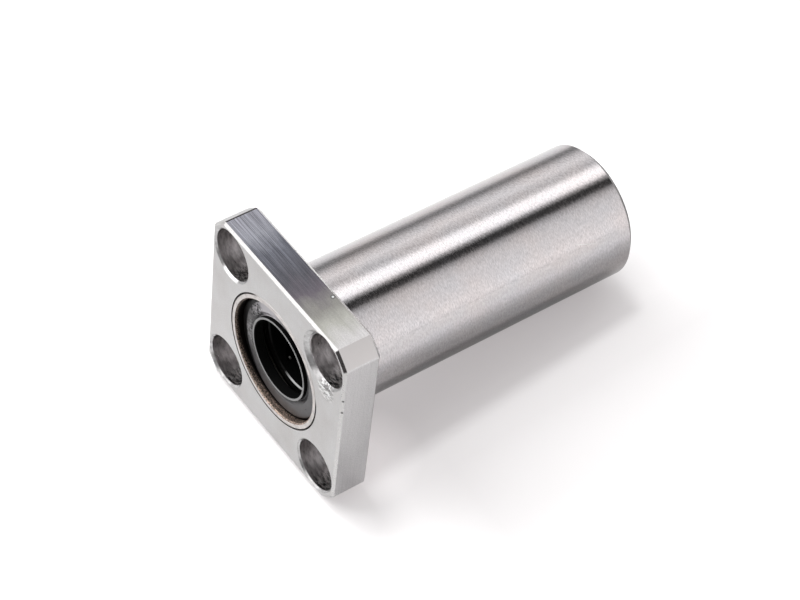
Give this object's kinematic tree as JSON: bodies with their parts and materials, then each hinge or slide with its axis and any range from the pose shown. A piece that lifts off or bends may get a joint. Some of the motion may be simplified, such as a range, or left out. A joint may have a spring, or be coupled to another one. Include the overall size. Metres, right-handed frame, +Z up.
{
  "type": "flanged linear bearing",
  "caption": "Long linear ball bearing for a round shaft: a ground steel sleeve in a square flange with counterbored bolt holes, rubber end seals and recirculating ball circuits.",
  "frame": {"origin": "on the shaft's axis, in the flange's outer face", "axes": "+Y along the shaft, from the flange's outer face into the sleeve; +Z up and +X to the right, seen from the flange"},
  "size_m": [0.032, 0.057, 0.032],
  "materials": {
    "flange_steel": "satin, ground face",
    "sleeve_steel": "fine ground",
    "seal_rubber": "smooth moulded",
    "ring_steel": "plain",
    "cage_resin": "moulded",
    "ball_steel": "polished"
  },
  "bodies": {
    "housing": {"flange": "flange_steel", "outer_sleeve": "sleeve_steel", "front_seal": "seal_rubber", "rear_seal": "seal_rubber", "front_retaining_ring": "ring_steel", "rear_retaining_ring": "ring_steel", "front_cage": "cage_resin", "rear_cage": "cage_resin"},
    "front_circuit_1_loaded_row": {"front_circuit_1_loaded_row": "ball_steel"},
    "front_circuit_1_outer_turn": {"front_circuit_1_outer_turn": "ball_steel"},
    "front_circuit_1_return_row": {"front_circuit_1_return_row": "ball_steel"},
    "front_circuit_1_inner_turn": {"front_circuit_1_inner_turn": "ball_steel"},
    "front_circuit_2_loaded_row": {"front_circuit_2_loaded_row": "ball_steel"},
    "front_circuit_2_outer_turn": {"front_circuit_2_outer_turn": "ball_steel"},
    "front_circuit_2_return_row": {"front_circuit_2_return_row": "ball_steel"},
    "front_circuit_2_inner_turn": {"front_circuit_2_inner_turn": "ball_steel"},
    "front_circuit_3_loaded_row": {"front_circuit_3_loaded_row": "ball_steel"},
    "front_circuit_3_outer_turn": {"front_circuit_3_outer_turn": "ball_steel"},
    "front_circuit_3_return_row": {"front_circuit_3_return_row": "ball_steel"},
    "front_circuit_3_inner_turn": {"front_circuit_3_inner_turn": "ball_steel"},
    "front_circuit_4_loaded_row": {"front_circuit_4_loaded_row": "ball_steel"},
    "front_circuit_4_outer_turn": {"front_circuit_4_outer_turn": "ball_steel"},
    "front_circuit_4_return_row": {"front_circuit_4_return_row": "ball_steel"},
    "front_circuit_4_inner_turn": {"front_circuit_4_inner_turn": "ball_steel"},
    "rear_circuit_1_loaded_row": {"rear_circuit_1_loaded_row": "ball_steel"},
    "rear_circuit_1_outer_turn": {"rear_circuit_1_outer_turn": "ball_steel"},
    "rear_circuit_1_return_row": {"rear_circuit_1_return_row": "ball_steel"},
    "rear_circuit_1_inner_turn": {"rear_circuit_1_inner_turn": "ball_steel"},
    "rear_circuit_2_loaded_row": {"rear_circuit_2_loaded_row": "ball_steel"},
    "rear_circuit_2_outer_turn": {"rear_circuit_2_outer_turn": "ball_steel"},
    "rear_circuit_2_return_row": {"rear_circuit_2_return_row": "ball_steel"},
    "rear_circuit_2_inner_turn": {"rear_circuit_2_inner_turn": "ball_steel"},
    "rear_circuit_3_loaded_row": {"rear_circuit_3_loaded_row": "ball_steel"},
    "rear_circuit_3_outer_turn": {"rear_circuit_3_outer_turn": "ball_steel"},
    "rear_circuit_3_return_row": {"rear_circuit_3_return_row": "ball_steel"},
    "rear_circuit_3_inner_turn": {"rear_circuit_3_inner_turn": "ball_steel"},
    "rear_circuit_4_loaded_row": {"rear_circuit_4_loaded_row": "ball_steel"},
    "rear_circuit_4_outer_turn": {"rear_circuit_4_outer_turn": "ball_steel"},
    "rear_circuit_4_return_row": {"rear_circuit_4_return_row": "ball_steel"},
    "rear_circuit_4_inner_turn": {"rear_circuit_4_inner_turn": "ball_steel"}
  },
  "joints": [
    {"name": "front_circuit_1_loaded_row_travel", "type": "slide", "parent": "housing", "child": "front_circuit_1_loaded_row", "axis": [0, 1, 0], "range_m": [-0.00106, 0.00106]},
    {"name": "front_circuit_1_outer_turn_swing", "type": "hinge", "parent": "housing", "child": "front_circuit_1_outer_turn", "pos_m": [0.00351, 0.0079, 0.00639], "axis": [0.7071, 0, 0.7071], "range_deg": [-30.1, 30.1]},
    {"name": "front_circuit_1_return_row_travel", "type": "slide", "parent": "housing", "child": "front_circuit_1_return_row", "axis": [0, 1, 0], "range_m": [-0.00107, 0.00107]},
    {"name": "front_circuit_1_inner_turn_swing", "type": "hinge", "parent": "housing", "child": "front_circuit_1_inner_turn", "pos_m": [0.00351, 0.02281, 0.00639], "axis": [0.7071, 0, 0.7071], "range_deg": [-30.1, 30.1]},
    {"name": "front_circuit_2_loaded_row_travel", "type": "slide", "parent": "housing", "child": "front_circuit_2_loaded_row", "axis": [0, 1, 0], "range_m": [-0.00106, 0.00106]},
    {"name": "front_circuit_2_outer_turn_swing", "type": "hinge", "parent": "housing", "child": "front_circuit_2_outer_turn", "pos_m": [-0.00639, 0.0079, 0.00351], "axis": [-0.7071, 0, 0.7071], "range_deg": [-30.1, 30.1]},
    {"name": "front_circuit_2_return_row_travel", "type": "slide", "parent": "housing", "child": "front_circuit_2_return_row", "axis": [0, 1, 0], "range_m": [-0.00107, 0.00107]},
    {"name": "front_circuit_2_inner_turn_swing", "type": "hinge", "parent": "housing", "child": "front_circuit_2_inner_turn", "pos_m": [-0.00639, 0.02281, 0.00351], "axis": [-0.7071, 0, 0.7071], "range_deg": [-30.1, 30.1]},
    {"name": "front_circuit_3_loaded_row_travel", "type": "slide", "parent": "housing", "child": "front_circuit_3_loaded_row", "axis": [0, 1, 0], "range_m": [-0.00106, 0.00106]},
    {"name": "front_circuit_3_outer_turn_swing", "type": "hinge", "parent": "housing", "child": "front_circuit_3_outer_turn", "pos_m": [-0.00351, 0.0079, -0.00639], "axis": [-0.7071, 0, -0.7071], "range_deg": [-30.1, 30.1]},
    {"name": "front_circuit_3_return_row_travel", "type": "slide", "parent": "housing", "child": "front_circuit_3_return_row", "axis": [0, 1, 0], "range_m": [-0.00107, 0.00107]},
    {"name": "front_circuit_3_inner_turn_swing", "type": "hinge", "parent": "housing", "child": "front_circuit_3_inner_turn", "pos_m": [-0.00351, 0.02281, -0.00639], "axis": [-0.7071, 0, -0.7071], "range_deg": [-30.1, 30.1]},
    {"name": "front_circuit_4_loaded_row_travel", "type": "slide", "parent": "housing", "child": "front_circuit_4_loaded_row", "axis": [0, 1, 0], "range_m": [-0.00106, 0.00106]},
    {"name": "front_circuit_4_outer_turn_swing", "type": "hinge", "parent": "housing", "child": "front_circuit_4_outer_turn", "pos_m": [0.00639, 0.0079, -0.00351], "axis": [0.7071, 0, -0.7071], "range_deg": [-30.1, 30.1]},
    {"name": "front_circuit_4_return_row_travel", "type": "slide", "parent": "housing", "child": "front_circuit_4_return_row", "axis": [0, 1, 0], "range_m": [-0.00107, 0.00107]},
    {"name": "front_circuit_4_inner_turn_swing", "type": "hinge", "parent": "housing", "child": "front_circuit_4_inner_turn", "pos_m": [0.00639, 0.02281, -0.00351], "axis": [0.7071, 0, -0.7071], "range_deg": [-30.1, 30.1]},
    {"name": "rear_circuit_1_loaded_row_travel", "type": "slide", "parent": "housing", "child": "rear_circuit_1_loaded_row", "axis": [0, -1, 0], "range_m": [-0.00106, 0.00106]},
    {"name": "rear_circuit_1_outer_turn_swing", "type": "hinge", "parent": "housing", "child": "rear_circuit_1_outer_turn", "pos_m": [-0.00351, 0.0491, 0.00639], "axis": [-0.7071, 0, 0.7071], "range_deg": [-30.1, 30.1]},
    {"name": "rear_circuit_1_return_row_travel", "type": "slide", "parent": "housing", "child": "rear_circuit_1_return_row", "axis": [0, -1, 0], "range_m": [-0.00107, 0.00107]},
    {"name": "rear_circuit_1_inner_turn_swing", "type": "hinge", "parent": "housing", "child": "rear_circuit_1_inner_turn", "pos_m": [-0.00351, 0.03419, 0.00639], "axis": [-0.7071, 0, 0.7071], "range_deg": [-30.1, 30.1]},
    {"name": "rear_circuit_2_loaded_row_travel", "type": "slide", "parent": "housing", "child": "rear_circuit_2_loaded_row", "axis": [0, -1, 0], "range_m": [-0.00106, 0.00106]},
    {"name": "rear_circuit_2_outer_turn_swing", "type": "hinge", "parent": "housing", "child": "rear_circuit_2_outer_turn", "pos_m": [0.00639, 0.0491, 0.00351], "axis": [0.7071, 0, 0.7071], "range_deg": [-30.1, 30.1]},
    {"name": "rear_circuit_2_return_row_travel", "type": "slide", "parent": "housing", "child": "rear_circuit_2_return_row", "axis": [0, -1, 0], "range_m": [-0.00107, 0.00107]},
    {"name": "rear_circuit_2_inner_turn_swing", "type": "hinge", "parent": "housing", "child": "rear_circuit_2_inner_turn", "pos_m": [0.00639, 0.03419, 0.00351], "axis": [0.7071, 0, 0.7071], "range_deg": [-30.1, 30.1]},
    {"name": "rear_circuit_3_loaded_row_travel", "type": "slide", "parent": "housing", "child": "rear_circuit_3_loaded_row", "axis": [0, -1, 0], "range_m": [-0.00106, 0.00106]},
    {"name": "rear_circuit_3_outer_turn_swing", "type": "hinge", "parent": "housing", "child": "rear_circuit_3_outer_turn", "pos_m": [0.00351, 0.0491, -0.00639], "axis": [0.7071, 0, -0.7071], "range_deg": [-30.1, 30.1]},
    {"name": "rear_circuit_3_return_row_travel", "type": "slide", "parent": "housing", "child": "rear_circuit_3_return_row", "axis": [0, -1, 0], "range_m": [-0.00107, 0.00107]},
    {"name": "rear_circuit_3_inner_turn_swing", "type": "hinge", "parent": "housing", "child": "rear_circuit_3_inner_turn", "pos_m": [0.00351, 0.03419, -0.00639], "axis": [0.7071, 0, -0.7071], "range_deg": [-30.1, 30.1]},
    {"name": "rear_circuit_4_loaded_row_travel", "type": "slide", "parent": "housing", "child": "rear_circuit_4_loaded_row", "axis": [0, -1, 0], "range_m": [-0.00106, 0.00106]},
    {"name": "rear_circuit_4_outer_turn_swing", "type": "hinge", "parent": "housing", "child": "rear_circuit_4_outer_turn", "pos_m": [-0.00639, 0.0491, -0.00351], "axis": [-0.7071, 0, -0.7071], "range_deg": [-30.1, 30.1]},
    {"name": "rear_circuit_4_return_row_travel", "type": "slide", "parent": "housing", "child": "rear_circuit_4_return_row", "axis": [0, -1, 0], "range_m": [-0.00107, 0.00107]},
    {"name": "rear_circuit_4_inner_turn_swing", "type": "hinge", "parent": "housing", "child": "rear_circuit_4_inner_turn", "pos_m": [-0.00639, 0.03419, -0.00351], "axis": [-0.7071, 0, -0.7071], "range_deg": [-30.1, 30.1]}
  ],
  "couplings": [
    {"joint": "front_circuit_1_outer_turn_swing", "follows": "front_circuit_1_loaded_row_travel", "rad_per_m": 491.64},
    {"joint": "front_circuit_1_return_row_travel", "follows": "front_circuit_1_loaded_row_travel", "ratio": -1},
    {"joint": "front_circuit_1_inner_turn_swing", "follows": "front_circuit_1_loaded_row_travel", "rad_per_m": 491.64},
    {"joint": "front_circuit_2_outer_turn_swing", "follows": "front_circuit_2_loaded_row_travel", "rad_per_m": 491.64},
    {"joint": "front_circuit_2_return_row_travel", "follows": "front_circuit_2_loaded_row_travel", "ratio": -1},
    {"joint": "front_circuit_2_inner_turn_swing", "follows": "front_circuit_2_loaded_row_travel", "rad_per_m": 491.64},
    {"joint": "front_circuit_3_outer_turn_swing", "follows": "front_circuit_3_loaded_row_travel", "rad_per_m": 491.64},
    {"joint": "front_circuit_3_return_row_travel", "follows": "front_circuit_3_loaded_row_travel", "ratio": -1},
    {"joint": "front_circuit_3_inner_turn_swing", "follows": "front_circuit_3_loaded_row_travel", "rad_per_m": 491.64},
    {"joint": "front_circuit_4_outer_turn_swing", "follows": "front_circuit_4_loaded_row_travel", "rad_per_m": 491.64},
    {"joint": "front_circuit_4_return_row_travel", "follows": "front_circuit_4_loaded_row_travel", "ratio": -1},
    {"joint": "front_circuit_4_inner_turn_swing", "follows": "front_circuit_4_loaded_row_travel", "rad_per_m": 491.64},
    {"joint": "rear_circuit_1_outer_turn_swing", "follows": "rear_circuit_1_loaded_row_travel", "rad_per_m": 491.64},
    {"joint": "rear_circuit_1_return_row_travel", "follows": "rear_circuit_1_loaded_row_travel", "ratio": -1},
    {"joint": "rear_circuit_1_inner_turn_swing", "follows": "rear_circuit_1_loaded_row_travel", "rad_per_m": 491.64},
    {"joint": "rear_circuit_2_outer_turn_swing", "follows": "rear_circuit_2_loaded_row_travel", "rad_per_m": 491.64},
    {"joint": "rear_circuit_2_return_row_travel", "follows": "rear_circuit_2_loaded_row_travel", "ratio": -1},
    {"joint": "rear_circuit_2_inner_turn_swing", "follows": "rear_circuit_2_loaded_row_travel", "rad_per_m": 491.64},
    {"joint": "rear_circuit_3_outer_turn_swing", "follows": "rear_circuit_3_loaded_row_travel", "rad_per_m": 491.64},
    {"joint": "rear_circuit_3_return_row_travel", "follows": "rear_circuit_3_loaded_row_travel", "ratio": -1},
    {"joint": "rear_circuit_3_inner_turn_swing", "follows": "rear_circuit_3_loaded_row_travel", "rad_per_m": 491.64},
    {"joint": "rear_circuit_4_outer_turn_swing", "follows": "rear_circuit_4_loaded_row_travel", "rad_per_m": 491.64},
    {"joint": "rear_circuit_4_return_row_travel", "follows": "rear_circuit_4_loaded_row_travel", "ratio": -1},
    {"joint": "rear_circuit_4_inner_turn_swing", "follows": "rear_circuit_4_loaded_row_travel", "rad_per_m": 491.64}
  ]
}
